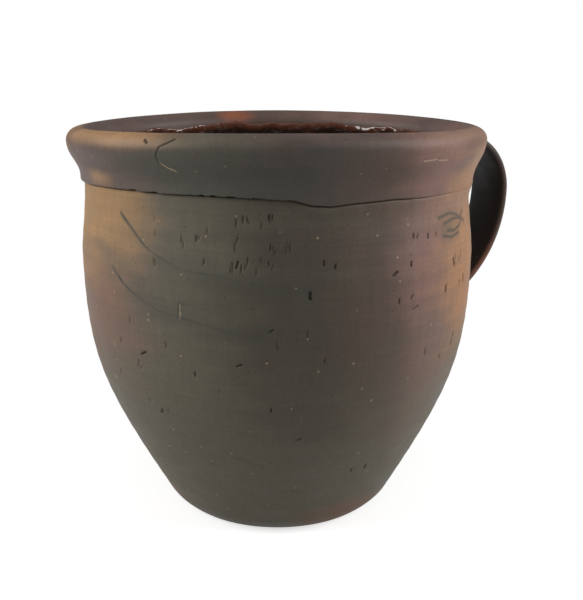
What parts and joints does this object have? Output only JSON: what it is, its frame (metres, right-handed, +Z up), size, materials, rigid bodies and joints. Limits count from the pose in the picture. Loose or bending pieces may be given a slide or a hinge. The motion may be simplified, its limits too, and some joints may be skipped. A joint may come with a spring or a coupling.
{
  "type": "redware crock",
  "caption": "Open clay crock with a rounded belly, a folded rim collar, a glazed lining and a strap handle at the side, for storing or serving food.",
  "frame": {"origin": "centre of the flat face that the crock rests on", "axes": "+Z up along the axis the pot was thrown on, +X out through the handle"},
  "size_m": [0.2285, 0.2, 0.19],
  "materials": {
    "smoked_redware": "unglazed, smoke-darkened, matt with a slight rub",
    "rim_redware": "unglazed, tan and charcoal patches, matt",
    "lead_glaze": "dark brown gloss glaze",
    "handle_redware": "unglazed, sooty, matt",
    "luting_clay": "unglazed, smeared by hand, matt"
  },
  "bodies": {
    "root": {"crock_body": "smoked_redware", "rim_collar": "rim_redware", "glaze_lining": "lead_glaze", "handle_strap": "handle_redware", "handle_upper_luting": "luting_clay", "handle_lower_luting": "luting_clay"}
  },
  "joints": []
}
